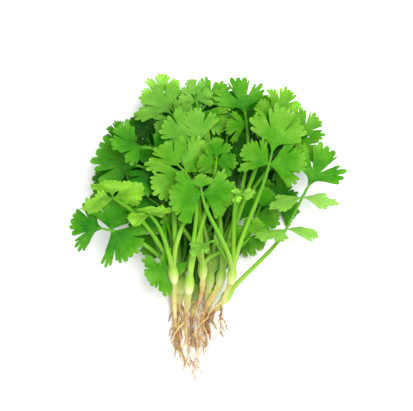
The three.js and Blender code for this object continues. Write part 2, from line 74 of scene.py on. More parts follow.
# Each plant from the lowest up. Of a leaf, tone says how bright and yellow it is: partly its own
# colour and partly painted shade and light, as the low leaves in the shade of those above are
# given dark tones and leaves turned away from the light bright ones. The next value says how far
# a painted sheen, standing for the soft gloss of the light, pales it, and cut how deeply its
# leaflets are cut, all from 0 to 1. The pair tone and pair sheen are for the two leaflets lower
# on its stalk.
plants = [
    dict(crown=(-4, -6), lean=2, root=[(-6, -22), (-8, -36), (-5, -50)], thick=2.8, leaves=[
        dict(at=(-52, 72), turn=-60, size=31, wide=1.2, tone=0.15),
        dict(at=(0, 100), turn=-10, size=32, wide=1.25, tone=0.1),
        dict(at=(44, 80), turn=40, size=28, wide=1.25, tone=0.1),
        dict(at=(6, 36), turn=4, size=32, wide=1.25, tone=0),
        dict(at=(16, 116), turn=14, size=32, wide=1.25, tone=0.05),
    ]),
    dict(crown=(8, -8), lean=8, root=[(5, -22), (6, -36), (3, -48)], thick=2.8, leaves=[
        dict(at=(59, 58), turn=20, size=21, wide=1.2, tone=0.35),
        dict(at=(38, 112), turn=14, size=36, wide=1.2, tone=0.3),
        dict(at=(58, 100), turn=50, size=27, wide=1.2, tone=0.15),
        dict(at=(-14, 78), turn=-25, size=30, wide=1.3, tone=0.05),
        dict(at=(-20, 112), turn=-30, size=30, wide=1.25, tone=0.1),
    ]),
    dict(crown=(-14, 2), lean=-4, root=[(-15, -12), (-17, -28), (-20, -42)], thick=2.7, leaves=[
        dict(at=(-37, 105), turn=-32, size=26, wide=1.25, tone=0),
        dict(at=(30, 80), turn=8, size=30, wide=1.25, tone=0.1),
        dict(at=(-30, 78), turn=-40, size=30, wide=1.25, tone=0.05),
        dict(at=(-12, 40), turn=-16, size=25, wide=1.2, tone=0.1),
    ]),
    dict(crown=(-23, 3), lean=-10, root=[(-21.5, -12), (-20, -26), (-18, -40), (-17, -52)],
         thick=3, leaves=[
        dict(at=(-33, 47), turn=195, size=27, pitch=-2, roll=0, wide=1.15, tone=0.35),
        dict(at=(-31.5, 62), turn=-70, size=28, wide=1.2, tone=0.1),
        dict(at=(-60, 107), turn=-5, size=17, pitch=6, roll=0, cut=0.5, tone=0.3),
        dict(at=(-29, 139), turn=-2, size=20, pitch=5, roll=10, wide=1.1, cut=0.5, paintedSheen=0.25,
             tone=0.9),
    ]),
    dict(crown=(7.5, 4), lean=5, root=[(5, -12), (4, -25), (1, -35), (-1, -49)], thick=3.2, leaves=[
        dict(at=(71, 108), turn=46, size=26, pitch=-4, roll=8, wide=1.1, cut=0.5, tone=0.5),
        dict(at=(43, 53), turn=26, size=23, pitch=4, roll=-10, wide=1.1, tone=0.45),
        dict(at=(20, 106), turn=2, size=24, pitch=6, roll=6, wide=1.15, cut=0.5, tone=0.16),
        dict(at=(0, 130), turn=44, size=29, pitch=0, roll=-12, cut=0.5, tone=0.6),
        dict(at=(30, 29), turn=26, size=17, pitch=8, roll=8, wide=1.1, cut=0.5, tone=0.62),
    ]),
    dict(crown=(16, 6), lean=10, thick=3.2,
         root=[(9.5, -7), (4, -17), (0, -26), (-6, -38), (-4, -52), (-1, -68)], leaves=[
        dict(at=(35, 121), turn=-9, size=36, pitch=10, roll=6, sides=0.5, spread=84, cut=1,
             tone=0.48),
        dict(at=(-3, 138), turn=-14, size=17, pitch=14, roll=0, spread=66, cut=0.5, paintedSheen=0.5,
             tone=0.6),
        dict(at=(57, 125), turn=22, size=24, pitch=6, roll=-8, wide=1.1, cut=0.5, tone=0.7),
    ]),
    dict(crown=(2, 12), lean=-2, root=[(1.5, -8), (-3, -20), (-4, -30)], thick=2.8, leaves=[
        dict(at=(-18.5, 124), turn=-38, size=31, pitch=4, roll=-6, wide=1.25, sides=0.56, spread=84,
             cut=0.5, paintedSheen=0.4, tone=0.56),
        dict(at=(-34, 62), turn=-55, size=28, wide=1.2, tone=0.2),
        dict(at=(36, 34), turn=34, size=18, pitch=4, roll=0, wide=1.1, cut=0.5, tone=0.6),
    ]),
    dict(crown=(-16, 0), lean=-10, root=[(-17, -14), (-15.5, -25), (-8, -36)], thick=3, leaves=[
        dict(at=(-24, 44), turn=-20, size=9, pitch=20, roll=20, tone=0.45),
        dict(at=(-66.5, 41), turn=-80, size=31, pitch=-4, roll=0, spread=112, skew=-24, sides=0.82,
             wide=1.3, cut=0.5, tone=0.42),
        dict(at=(-37, 86), turn=-72, size=43, pitch=0, roll=8, sides=0.5, wide=1.2, cut=0.5,
             tone=0.3),
        dict(at=(-34, 101), turn=-80, size=35, pitch=-4, roll=4, twist=50, hang=20, sides=0.4,
             spread=120, via=-50, wide=1, cut=0.5, tone=0.34),
        dict(at=(-64, 65), turn=-8, size=25, pitch=48, roll=-4, spread=76, sides=0.98, via=-62,
             wide=1.15, tone=1.0),
    ]),
    dict(crown=(20, -9), lean=37, root=[(11, -19), (7, -25), (5.5, -30)], thick=3.2, leaves=[
        dict(at=(77, 66), turn=27, size=43, pitch=4, roll=4, hang=-93, pair=27, spread=95, skew=-32,
             sides=0.6, lower=0.58, cut=1, pairTone=1.0, pairPaintedSheen=0.8, tone=0.52),
    ]),
    dict(crown=(-20, 9), lean=-8, thick=3,
         root=[(-20, -8), (-20, -30), (-18, -46), (-16, -58), (-1, -75)], leaves=[
        dict(at=(-20, 17), turn=-125, size=24, pitch=-8, roll=0, sides=0.45, wide=1.35, tone=0.55),
        dict(at=(-37, 52.5), turn=-4, size=15, pitch=56, roll=0, spread=80, sides=1.1, via=-46,
             tone=1.0),
        dict(at=(0, 107), turn=-68, size=37, pitch=2, roll=8, spread=54, sides=0.7, wide=0.95,
             via=-20, cut=0.5, paintedSheen=0.25, tone=0.52),
    ]),
    dict(crown=(-8, 1), lean=3, thick=2.9,
         root=[(-10, -14), (-12, -28), (-11.5, -40), (-9, -54), (-7, -63)], leaves=[
        dict(at=(-11, 84), turn=-43, size=31, pitch=4, roll=0, sides=0.9, spread=70, wide=1.1,
             cut=0.5, tone=0.6),
        dict(at=(12, 91), turn=5, size=20, pitch=14, roll=0, cut=0.5, tone=0.48),
    ]),
    dict(crown=(24, 7.5), lean=6, root=[(19, -6), (15.5, -17), (15, -27), (16, -39)], thick=2.6,
         leaves=[
        dict(at=(11, 33.5), turn=-112, size=22, pitch=-4, roll=0, twist=56, sides=0.22, spread=140,
             wide=0.8, via=-30, paintedSheen=0.4, cut=0.5, tone=0.85),
        dict(at=(1.5, 68.5), turn=-8, size=15, pitch=4, roll=0, sides=1.7, spread=94, wide=1.1,
             tone=0.48),
        dict(at=(51.5, 90), turn=13, size=45, pitch=4, roll=0, wide=0.82, sides=0.64, spread=64,
             cut=0.5, tone=0.64),
        dict(at=(27, 67.5), turn=84, size=14, twist=58, sides=0.4, via=10, paintedSheen=0.4, tone=1.0),
    ]),
]


# A seeded row of draws, each from a least value and a span.
def makeRandom(state):
    factor, size = 48271, 2147483647

    def draw(pair=(0, 1)):
        nonlocal state
        state = state * factor % size
        return pair[0] + pair[1] * (state / size)
    return draw


# The heap: a map of how high what is laid already stands.
cell, across, heapMiddle = lay["cell"], lay["across"], lay["heapMiddle"]
heap = np.zeros((across, across))


def cellOf(v):
    return np.clip(np.floor(np.asarray(v) / cell + across / 2).astype(int), 1, across - 2)


def cellsNear(x, y, reach):
    i = np.arange(cellOf(x - reach), cellOf(x + reach) + 1)
    j = np.arange(cellOf(y - heapMiddle - reach), cellOf(y - heapMiddle + reach) + 1)
    away = np.hypot(((i + 0.5 - across / 2) * cell - x)[:, None],
                    ((j + 0.5 - across / 2) * cell + heapMiddle - y)[None, :])
    return np.ix_(i, j), away


# How high a ball's middle comes to rest at a place on the heap.
def ballRest(x, y, radius):
    reach = radius + lay["clearance"]
    where, away = cellsNear(x, y, reach)
    tops = heap[where]
    held = (away < reach) & (tops > 0)
    if not held.any():
        return radius
    return max(radius, float((tops[held] + np.sqrt(reach * reach - away[held] ** 2)).max()))


def coverBall(x, y, z, radius):
    where, away = cellsNear(x, y, radius + cell / 2)
    tops = z + np.sqrt(np.maximum(radius * radius - away ** 2, 0))
    heap[where] = np.where(away < radius + cell / 2, np.maximum(heap[where], tops), heap[where])


def coverStrand(centres, radii):
    for a, b, ra, rb in zip(centres[:-1], centres[1:], radii[:-1], radii[1:]):
        steps = math.ceil(np.linalg.norm(b - a) / cell)
        for s in range(steps + 1):
            p = a + (b - a) * (s / steps)
            coverBall(p[0], p[1], p[2], ra + (rb - ra) * s / steps)


def coverSpots(spots):
    i, j = cellOf(spots[:, 0]), cellOf(spots[:, 1] - heapMiddle)
    for a in (-1, 0, 1):
        for b in (-1, 0, 1):
            np.maximum.at(heap, (i + a, j + b), spots[:, 2] + lay["bladeThick"] / 2)


def alongTable(values, share):
    at = share * (len(values) - 1)
    i = min(math.floor(at), len(values) - 2)
    return values[i] + (values[i + 1] - values[i]) * (at - i)


def along(degrees):
    return np.array([math.sin(math.radians(degrees)), math.cos(math.radians(degrees))])


# Lays a strand over the heap: it rests on the highest places and runs straight between them.
def layStrand(route, radii, first, last=None):
    stride = lay["ringStride"]
    floors = [ballRest(p[0], p[1], r) for p, r in zip(route, radii)]
    n = (len(route) - 1) // stride
    z = [max(floors[max(k * stride - stride + 1, 0):(k + 1) * stride]) for k in range(n + 1)]
    z[0] = first
    z[n] = floors[-1] if last is None else last
    rest = list(z)
    for _ in range(lay["settlePasses"]):
        for k in range(1, n):
            z[k] = max(rest[k], (z[k - 1] + z[k + 1]) / 2)
    heights = [alongTable(z, i / (n * stride)) for i in range(len(route))]
    return np.column_stack([np.array(route), heights])


def turnBy(turn, pitch, roll):
    a, b, c = math.radians(-turn), math.radians(pitch), math.radians(roll)
    rz = np.array([[math.cos(a), -math.sin(a), 0], [math.sin(a), math.cos(a), 0], [0, 0, 1]])
    rx = np.array([[1, 0, 0], [0, math.cos(b), -math.sin(b)], [0, math.sin(b), math.cos(b)]])
    ry = np.array([[math.cos(c), 0, math.sin(c)], [0, 1, 0], [-math.sin(c), 0, math.cos(c)]])
    return rz @ rx @ ry


def leafletsOf(leaf, draw):
    f = leafForm
    size, spread = leaf["size"], leaf.get("spread", f["sideSpread"])
    found = [dict(kind="fan", y=f["endStalk"] * size, z=f["endRise"], turn=0, side=1, inner=1,
                  twist=leaf.get("twist", 0), tilt=f["endTilt"], edge=f["fanEdge"],
                  size=(1 - f["endStalk"]) * size)]
    pairs = [(0, leaf.get("sides", f["sideScale"]))]
    if "pair" in leaf:
        pairs.append((-leaf["pair"], leaf.get("lower", f["lowerScale"])))
    for y, scale in pairs:
        for side in (-1, 1):
            found.append(dict(kind="wing", y=y, z=0, turn=side * spread + leaf.get("skew", 0),
                              side=side, inner=f["innerShare"],
                              twist=side * (f["sideTwist"] + leaf.get("hang", 0)),
                              tilt=f["sideTilt"], edge=f["wingEdge"], size=size * scale))
    for one in found:
        one["width"] = draw((leaf.get("wide", f["width"][0]), f["width"][1]))
        for key in ("fold", "droop", "wave"):
            one[key] = draw(f[key])
        one["phase"] = 2 * math.pi * draw()
        one["tilt"] += draw(f["tilt"])
        one["turn"] += draw(f["turn"])
        one["tone"], one["paintedSheen"], one["cut"] = leaf["tone"], leaf.get("paintedSheen", 0), leaf.get("cut", 0)
        if "pair" in leaf and one["kind"] == "wing":
            one["tone"], one["paintedSheen"], one["cut"] = leaf["pairTone"], leaf["pairPaintedSheen"], 0
    return found


# Points of a leaflet in its own frame, from angles in degrees and shares of its length.
def bladePoints(one, angle, share):
    a = np.radians(angle)
    x = np.sin(a) * share * one["width"] * one["side"]
    bend = (one["fold"] * np.abs(x) - one["droop"] * share ** 2
            + one["wave"] * share ** 2 * np.sin(3 * a + one["phase"]))
    return np.column_stack([x, np.cos(a) * share, bend]) * one["size"]


def inPlace(points, leafTurn, one, raised):
    own = turnBy(one["turn"], one["tilt"] + raised, one["twist"])
    return (points @ own.T + (0, one["y"], one["z"])) @ leafTurn.T


def bladeSpots(one, leafTurn, raised):
    edge = one["edge"]
    corners = [(0, leafForm["hubShare"]), (0, 0)] + edge + [(0, 1)]
    corners += [(-angle * one["inner"], share) for angle, share in reversed(edge)]
    angle, share = np.array(corners, float).T
    placed = inPlace(bladePoints(one, angle, share), leafTurn, one, raised)
    hub, ends = placed[0], placed[1:]
    rows = math.ceil(one["size"] / lay["spotSpacing"])
    t = np.arange(lay["edgeSpots"])[None, :, None] / lay["edgeSpots"]
    between = (ends[:, None] + (np.roll(ends, -1, 0) - ends)[:, None] * t).reshape(-1, 3)
    s = np.arange(1, rows + 1)[:, None, None] / rows
    return (hub + (between - hub)[None] * s).reshape(-1, 3)


# Lets a leaf down on the heap, and tilts each leaflet up as far as what is under it asks.
def settleLeaf(leaf, leafTurn, leaflets, rank):
    x, y = leaf["at"]
    distance = math.hypot((x - lay["moundCentre"][0]) / lay["moundReach"][0],
                          (y - lay["moundCentre"][1]) / lay["moundReach"][1])
    held = lay["moundHeight"] * rank * max(1 - distance * distance, 0)
    z = max(held, ballRest(x, y, lay["stalkRadii"][-1]) + lay["liftStep"])
    tries = list(range(0, lay["tiltLimit"] + 1, lay["tiltStep"]))
    needs = []
    for one in leaflets:
        need = []
        for raised in tries:
            spots = bladeSpots(one, leafTurn, raised)
            tops = heap[cellOf(x + spots[:, 0]), cellOf(y + spots[:, 1] - heapMiddle)]
            rests = np.where(tops > 0, tops + lay["clearance"], 0) + lay["bladeThick"] / 2
            need.append(float((rests - spots[:, 2]).max()))
        needs.append(need)
    while not all(min(need) <= z for need in needs):
        z += lay["liftStep"]
    raised = [next(t for t, n in zip(tries, need) if n <= z) for need in needs]
    return np.array([x, y, z]), raised


def stalkRoute(start, lean, end, turn):
    reach = float(np.linalg.norm(end - start))
    toward = math.degrees(math.atan2(end[0] - start[0], end[1] - start[1]))
    leaving = lay["leanShare"] * lean + (1 - lay["leanShare"]) * toward
    first = start + along(leaving) * lay["stalkLead"] * reach
    second = end - along(turn) * lay["stalkTail"] * reach
    t = (np.arange(lay["routeSteps"] + 1) / lay["routeSteps"])[:, None]
    return ((1 - t) ** 3 * start + 3 * (1 - t) ** 2 * t * first + 3 * (1 - t) * t * t * second
            + t ** 3 * end)


def layLeaf(plant, crownTop, leaf, rank, draw):
    leafTurn = turnBy(leaf["turn"], leaf.get("pitch", 0), leaf.get("roll", 0))
    leaflets = leafletsOf(leaf, draw)
    joint, raised = settleLeaf(leaf, leafTurn, leaflets, rank)
    tail = leafTurn @ np.array([0, -leaf.get("pair", 0), 0]) + joint
    route = stalkRoute(crownTop[:2], plant["lean"], tail[:2], leaf.get("via", leaf["turn"]))
    radii = [alongTable(lay["stalkRadii"], i / lay["routeSteps"]) for i in range(len(route))]
    strand = layStrand(route, radii, crownTop[2], tail[2])
    for one, r in zip(leaflets, raised):
        coverSpots(bladeSpots(one, leafTurn, r) + joint)
        one["raised"], one["leafTurn"], one["joint"] = r, leafTurn, joint
    rib = inPlace(bladePoints(leaflets[0], np.zeros(1), np.full(1, lay["ribShare"])), leafTurn,
                  leaflets[0], raised[0])[0] + joint
    return dict(leaf=leaf, leaflets=leaflets, joint=joint, strand=strand, radii=radii, rib=rib)


def layCrown(plant):
    ends = [np.array(plant["crown"]) + along(plant["lean"]) * d
            for d in (lay["crownAbove"], 0, -lay["crownBelow"])]
    rest = max(ballRest(p[0], p[1], lay["crownRadius"]) for p in ends)
    z = rest if rest > lay["crownRadius"] else lay["crownRadius"] - lay["flatSink"]
    return [np.array([p[0], p[1], z]) for p in ends]


# A smooth line through the knots.
def splinePoints(knots, steps):
    knots = np.array(knots, float)
    last = len(knots) - 1
    found = []
    for s in range(steps + 1):
        at = last * s / steps
        i = math.floor(at)
        t = at - i
        p0, p1 = knots[max(i - 1, 0)], knots[i]
        p2, p3 = knots[min(i + 1, last)], knots[min(i + 2, last)]
        v0, v1 = (p2 - p0) * 0.5, (p3 - p1) * 0.5
        found.append((2 * p1 - 2 * p2 + v0 + v1) * t ** 3
                     + (-3 * p1 + 3 * p2 - 2 * v0 - v1) * t * t + v0 * t + p1)
    return np.array(found)


def layRoot(plant, crown):
    joint = crown[2]
    down = (joint - crown[1]) / np.linalg.norm(joint - crown[1])
    start = joint + down * lay["rootNeck"]
    route = splinePoints([start[:2]] + plant["root"], lay["routeSteps"])
    radii = [max(plant["thick"] * (1 - i / lay["routeSteps"]) ** lay["rootTaper"],
                 lay["rootTipRadius"]) for i in range(len(route))]
    return layStrand(route, radii, joint[2]), radii, joint + down * lay["jointGap"]


def layRootlet(strand, share, draw):
    i = round(share * lay["routeSteps"])
    start = strand[i]
    ahead = (strand[i + 1] - start) * (1, 1, 0)
    ahead /= np.linalg.norm(ahead)
    side = -1 if draw() < 0.5 else 1
    side *= draw(leafForm["aside"])
    aside = np.array([-ahead[1], ahead[0], 0]) * side
    reach = draw(leafForm["reach"])
    spread, curl = lay["rootletBend"]

    def at(s):
        return start + ahead * reach * s + aside * reach * s * (spread + curl * s)
    slope = max((ballRest(at(s)[0], at(s)[1], lay["rootletRadii"][0]) - start[2]) / s
                for s in lay["rootletChecks"])
    return np.array([[*at(s)[:2], start[2] + slope * s] for s in lay["rootletKnots"]])


laid = []
for k, plant in enumerate(plants):
    draw = makeRandom(lay["seed"] + lay["seedStep"] * k)
    crown = layCrown(plant)
    root, rootRadii, rootTop = layRoot(plant, crown)
    crownTop = crown[1] + (crown[0] - crown[1]) * lay["stalkStart"]
    leaves = [layLeaf(plant, crownTop, leaf, k / (len(plants) - 1), draw)
              for leaf in plant["leaves"]]
    rootlets = [layRootlet(root, share, draw) for share in lay["rootletStarts"]]
    coverStrand(crown, [share * lay["crownRadius"] for share in lay["crownProfile"]])
    coverStrand(root, rootRadii)
    for rootlet in rootlets:
        coverStrand(rootlet, lay["rootletRadii"])
    for leaf in leaves:
        coverStrand(leaf["strand"], leaf["radii"])
    laid.append(dict(plant=plant, crown=crown, root=root, rootRadii=rootRadii, rootTop=rootTop,
                     leaves=leaves, rootlets=rootlets))
print("plants laid:", len(laid), "top of the heap at", round(float(heap.max()), 1), "mm")

# A leaflet's blade is modelled flat, one unit long, with its stalk end at the origin and its tip
# on +Y. Its edge is given from the hub as (degrees from the tip's way, distance), on one side.
bladeShape = {
    "fan": {
        "seed": 9000, "sideFrom": 33, "sinus": 2, "inner": 1,
        "teeth": [(0, 0.78), (12.5, 0.765), (24, 0.71), (41, 0.735), (52, 0.80), (63, 0.78),
                  (74, 0.67)],
        "notches": [(6.2, 0.70), (18.3, 0.665), (33, 0.40), (46.5, 0.675), (57.5, 0.70),
                    (68.5, 0.655), (80.5, 0.50)],
        "base": [(82.9, 0.4), (86.6, 0.25), (99.8, 0.147), (131.4, 0.113), (158.2, 0.14),
                 (171, 0.192)],
    },
    "wing": {
        "seed": 9500, "sideFrom": 45, "sinus": 3, "inner": 0.78,
        "teeth": [(0, 0.78), (13, 0.76), (26, 0.73), (37, 0.66), (52, 0.74), (63, 0.79),
                  (74, 0.71)],
        "notches": [(6.5, 0.695), (19.5, 0.665), (31.5, 0.62), (44.5, 0.42), (57.5, 0.675),
                    (68.5, 0.67), (80, 0.50)],
        "base": [(86, 0.421), (98.4, 0.273), (122, 0.189), (149, 0.175), (168.7, 0.204)],
    },
    "variants": 8, "seedStep": 71, "cuts": (0, 0.5, 1), "toothSteps": 7,
    "uneven": 0.06, "wander": 2.8, "sideLobe": (-0.1, 0.14), "blunt": 0.42,
    "slitPower": (2.2, 1.2), "gap": 0.8, "mouth": 0.4,
    # what a full cut adds or takes
    "cutBlunt": 0.15, "cutGap": 4.2, "cutTeeth": 1.9, "cutSinus": 0.2, "cutPower": 1.6,
    "cutTip": 0.05,
    "ringShares": [0.95, 0.87, 0.76, 0.62, 0.46, 0.28, 0.12],
}


def deselect():
    if bpy.context.mode != "OBJECT":
        bpy.ops.object.mode_set(mode="OBJECT")
    bpy.ops.object.select_all(action="DESELECT")


def coordsOf(piece):
    found = np.empty(len(piece.data.vertices) * 3)
    piece.data.vertices.foreach_get("co", found)
    return found.reshape(-1, 3)


def copyOf(form):
    piece = form.copy()
    piece.data = form.data.copy()
    bpy.context.collection.objects.link(piece)
    return piece


def setCoords(piece, coords):
    piece.data.vertices.foreach_set("co", np.ascontiguousarray(coords, dtype=float).ravel())
    piece.data.update()


def attributeOn(piece, name, values):
    layer = piece.data.attributes.new(name, "FLOAT", "POINT")
    values = np.broadcast_to(values, len(piece.data.vertices))
    layer.data.foreach_set("value", values.astype(np.float32))


# One side of a blade's edge: round teeth between notches, then the way in to the stalk. cut is
# how deeply the blade is cut into fingers, from 0 to 1.
def edgeOfSide(form, cut, tip, tipNotch, draw):
    f = bladeShape
    steps, wander = f["toothSteps"], (-f["wander"], 2 * f["wander"])
    uneven = (-f["uneven"], 2 * f["uneven"])
    own = 1 + draw(uneven)
    lobe = own * (1 + draw(f["sideLobe"]))
    peaks = [tip] + [r * (lobe if a > form["sideFrom"] else own) * (1 + draw(uneven))
                     for a, r in form["teeth"][1:]]
    notches = [(form["notches"][0][0], tipNotch)]
    for i, (a, r) in enumerate(form["notches"][1:], 1):
        r *= (lobe if a > form["sideFrom"] else own) * (1 + draw(uneven))
        if i == form["sinus"]:
            r -= cut * f["cutSinus"]
        elif i < len(peaks) - 1:
            r = peaks[i] - (peaks[i] - r) * (1 + cut * (f["cutTeeth"] - 1))
        notches.append((a + draw(wander), r))
    power = draw(f["slitPower"]) - cut * f["cutPower"]
    bluntness = f["blunt"] + cut * f["cutBlunt"]
    gap, mouth = f["gap"] + cut * f["cutGap"], f["mouth"]
    found = []
    for i, peak in enumerate(peaks):
        start = notches[i - 1] if i else (-notches[0][0], notches[0][1])
        end = notches[i]
        if i == form["sinus"]:
            end = (end[0] - gap, end[1] + (peak - end[1]) * mouth)
        if i == form["sinus"] + 1:
            found.append(start)
            start = (start[0] + gap, start[1] + (peak - start[1]) * mouth)
        for s in range(steps + 1):
            u = -1 + 2 * s / steps
            angle = start[0] + (end[0] - start[0]) * (u + 1) / 2
            if angle < 0 or (i and s == 0 and i != form["sinus"] + 1):
                continue
            if start[1] > end[1]:
                near, far, t = start, end, (u + 1) / 2
            else:
                near, far, t = end, start, (1 - u) / 2
            floor = near[1] + (far[1] - near[1]) * t ** power
            found.append((angle, floor + (peak - floor) * (1 - u * u) ** bluntness))
    return [(0, tip)] + found + form["base"]


def modelBlade(kind, variant, cut):
    form = bladeShape[kind]
    draw = makeRandom(form["seed"] + bladeShape["seedStep"] * variant)
    uneven = bladeShape["uneven"]
    tip = form["teeth"][0][1] * (1 + draw((-uneven, 2 * uneven)))
    tipNotch = form["notches"][0][1] - bladeShape["cutTip"] * cut
    sides = []
    for inner in (1, form["inner"]):
        a, r = np.array(edgeOfSide(form, cut, tip, tipNotch, draw)).T
        a = np.radians(a)
        x, y = np.sin(a) * r, leafForm["hubShare"] + np.cos(a) * r
        turned = np.arctan2(x, y) * inner
        sides.append(np.column_stack([np.sin(turned), np.cos(turned)]) * np.hypot(x, y)[:, None])
    right, left = sides
    left = left[1:][::-1] * (-1, 1)
    outline = np.vstack([right, [(0, 0)], left])
    deselect()
    bpy.ops.mesh.primitive_circle_add(vertices=len(outline), radius=1, fill_type="NOTHING")
    blade = bpy.context.object
    blade.name = kind + "Blade" + str(variant)
    setCoords(blade, np.column_stack([outline, np.zeros(len(outline))]))
    bpy.ops.object.mode_set(mode="EDIT")
    bpy.ops.mesh.select_all(action="SELECT")
    before = 1.0
    for share in bladeShape["ringShares"] + [0.0]:  # rings of faces from the edge in to the hub
        bpy.ops.mesh.extrude_region_move()
        bpy.ops.transform.resize(value=(share / before,) * 2 + (1,),
                                 center_override=(0, leafForm["hubShare"], 0))
        before = share
    bpy.ops.mesh.select_all(action="SELECT")
    bpy.ops.mesh.remove_doubles(threshold=1e-5)
    bpy.ops.mesh.normals_make_consistent(inside=False)
    bpy.ops.object.mode_set(mode="OBJECT")
    if sum(f.normal.z for f in blade.data.polygons) < 0:
        blade.data.flip_normals()
    flat = coordsOf(blade)
    layer = blade.data.uv_layers.new(name="blade")
    corners = np.empty(len(blade.data.loops), int)
    blade.data.loops.foreach_get("vertex_index", corners)
    layer.data.foreach_set("uv", flat[corners, :2].ravel())
    return blade


bladeForms = {(kind, cut): [modelBlade(kind, v, cut) for v in range(bladeShape["variants"])]
              for kind in ("fan", "wing") for cut in bladeShape["cuts"]}
print("blades modelled:", len(bladeForms["fan", 0][0].data.polygons), "faces each")

bladeBend = {
    "outwardAt": 0.7, "outwardMost": 1.2,
    "crease": 0.0015, "creaseWidth": 3.5, "creaseReach": 0.75,
    "ruffle": 0.02, "ruffleWaves": 7, "swell": 0.02, "swellWaves": (8, 9),
    "lobeLift": (-0.09, 0.15), "liftPower": 1.5, "lobeEase": 16, "sideLobeFrom": 25,
    "endLobeTo": 41, "lowest": 0.3, "toneSpread": (-0.08, 0.16),
}


# The form's own copy, at its leaflet's size and bent as the leaflet is, with its own ruffles.
def placeBlade(one, number, draw):
    f = bladeBend
    blade = copyOf(bladeForms[one["kind"], one["cut"]][number % bladeShape["variants"]])
    x, y = coordsOf(blade)[:, :2].T
    points = bladePoints(one, np.degrees(np.arctan2(x, y)), np.hypot(x, y))
    fromHub = np.hypot(x, y - leafForm["hubShare"])
    around = np.degrees(np.arctan2(x, y - leafForm["hubShare"]))
    outward = np.clip(fromHub / f["outwardAt"], 0, f["outwardMost"])
    veins = [a for a, _ in bladeShape[one["kind"]]["teeth"]]
    near = np.min([np.abs(np.abs(around) - a) for a in veins], axis=0)
    crease = f["crease"] * np.exp(-(near / f["creaseWidth"]) ** 2)
    crease *= np.sin(np.pi * np.clip(fromHub / f["creaseReach"], 0, 1))
    phase = draw((0, 2 * math.pi))
    ruffle = np.sin(np.radians(around) * f["ruffleWaves"] + phase) * outward ** 3
    swell = (np.sin(f["swellWaves"][0] * x + phase)
             * np.sin(f["swellWaves"][1] * y - phase) * outward)
    lobes = [-around - f["sideLobeFrom"], around - f["sideLobeFrom"],
             f["endLobeTo"] - np.abs(around)]
    lift = sum(draw(f["lobeLift"]) * np.clip(inside / f["lobeEase"], 0, 1) for inside in lobes)
    points[:, 2] += one["size"] * (f["ruffle"] * ruffle + f["swell"] * swell
                                   + lift * outward ** f["liftPower"] - crease)
    placed = inPlace(points, one["leafTurn"], one, one["raised"]) + one["joint"]
    placed[:, 2] = np.maximum(placed[:, 2], f["lowest"])
    setCoords(blade, (placed + (*lay["boxShift"], 0)) * mm)
    if one["side"] < 0:
        blade.data.flip_normals()
    attributeOn(blade, "tone", np.clip(one["tone"] + draw(f["toneSpread"]), 0, 1))
    attributeOn(blade, "outward", outward)
    # How far a painted sheen, standing for the gloss of the light, pales the blade.
    attributeOn(blade, "paintedSheen", one["paintedSheen"])
    return blade


# Joins the pieces into the first one.
def joinPieces(pieces, name):
    deselect()
    for piece in pieces:
        piece.select_set(True)
    bpy.context.view_layer.objects.active = pieces[0]
    if len(pieces) > 1:
        bpy.ops.object.join()
    joined = bpy.context.object
    joined.name = name
    joined.data.name = name
    return joined


tubeShape = {"knots": 8, "lead": 0.35, "tail": 0.6, "waves": 3, "wavesTurn": (0, 6),
             "swelling": (-1, 2), "lowest": 0.05}


# A line's points and radii at even steps along it.
def smoothLine(points, radii, steps):
    knots = splinePoints(np.column_stack([points, radii]), tubeShape["knots"] * len(points))
    reach = np.cumsum(np.linalg.norm(np.diff(knots[:, :3], axis=0), axis=1))
    knotsAt = np.concatenate([[0], reach])
    at = np.linspace(0, knotsAt[-1], steps)
    found = np.column_stack([np.interp(at, knotsAt, knots[:, i]) for i in range(4)])
    return found[:, :3], found[:, 3]


tubeForms = {}


def tubeForm(sides, rings):
    if (sides, rings) not in tubeForms:
        deselect()
        bpy.ops.mesh.primitive_grid_add(x_subdivisions=sides, y_subdivisions=rings - 1, size=1)
        form = bpy.context.object
        form.data.uv_layers[0].name = "strand"
        tubeForms[sides, rings] = form
    return tubeForms[sides, rings]


# A strand's tube: a sheet rolled round its line, with its ends drawn in to a point.
def rollTube(points, radii, sides, ridges=0, ridgeDepth=0.0, wobble=0.0, draw=None):
    tube = copyOf(tubeForm(sides, len(points) + 2))
    points = np.asarray(points, float)
    ahead = np.gradient(points, axis=0)
    ahead /= np.linalg.norm(ahead, axis=1)[:, None]
    side = np.cross(ahead, (0, 0, 1))
    side /= np.maximum(np.linalg.norm(side, axis=1), 1e-9)[:, None]
    over = np.cross(side, ahead)
    lead = points[0] - ahead[0] * radii[0] * tubeShape["lead"]
    tail = points[-1] + ahead[-1] * radii[-1] * tubeShape["tail"]
    centres = np.vstack([lead, points, tail])
    side = np.vstack([side[:1], side, side[-1:]])
    over = np.vstack([over[:1], over, over[-1:]])
    wide = np.concatenate([[0], radii, [0]])
    a = np.arange(sides + 1) * 2 * np.pi / sides
    a[-1] = 0
    profile = 1 + ridgeDepth * np.cos(ridges * a)
    if wobble:
        waves = np.sin(tubeShape["waves"] * a + draw(tubeShape["wavesTurn"]))
        profile = profile * (1 + wobble * waves)
        wide[1:-1] *= 1 + wobble * np.array([draw(tubeShape["swelling"]) for _ in points])
    rounded = np.cos(a)[None, :, None] * side[:, None] + np.sin(a)[None, :, None] * over[:, None]
    skin = centres[:, None] + wide[:, None, None] * profile[None, :, None] * rounded
    skin = skin.reshape(-1, 3)
    skin[:, 2] = np.maximum(skin[:, 2], tubeShape["lowest"])
    setCoords(tube, (skin + (*lay["boxShift"], 0)) * mm)
    return tube


# Merges each tube's seam and drawn-in ends, and turns its faces outwards.
def closeTubes(piece):
    deselect()
    piece.select_set(True)
    bpy.context.view_layer.objects.active = piece
    bpy.ops.object.mode_set(mode="EDIT")
    bpy.ops.mesh.select_all(action="SELECT")
    bpy.ops.mesh.remove_doubles(threshold=1e-7)
    bpy.ops.mesh.normals_make_consistent(inside=False)
    bpy.ops.object.mode_set(mode="OBJECT")


# A colour from its screen values, 0 to 255, in the linear values that shaders take.
def colour(r, g, b):
    return tuple(((v / 255 + 0.055) / 1.055) ** 2.4 if v > 10 else v / 255 / 12.92
                 for v in (r, g, b)) + (1,)


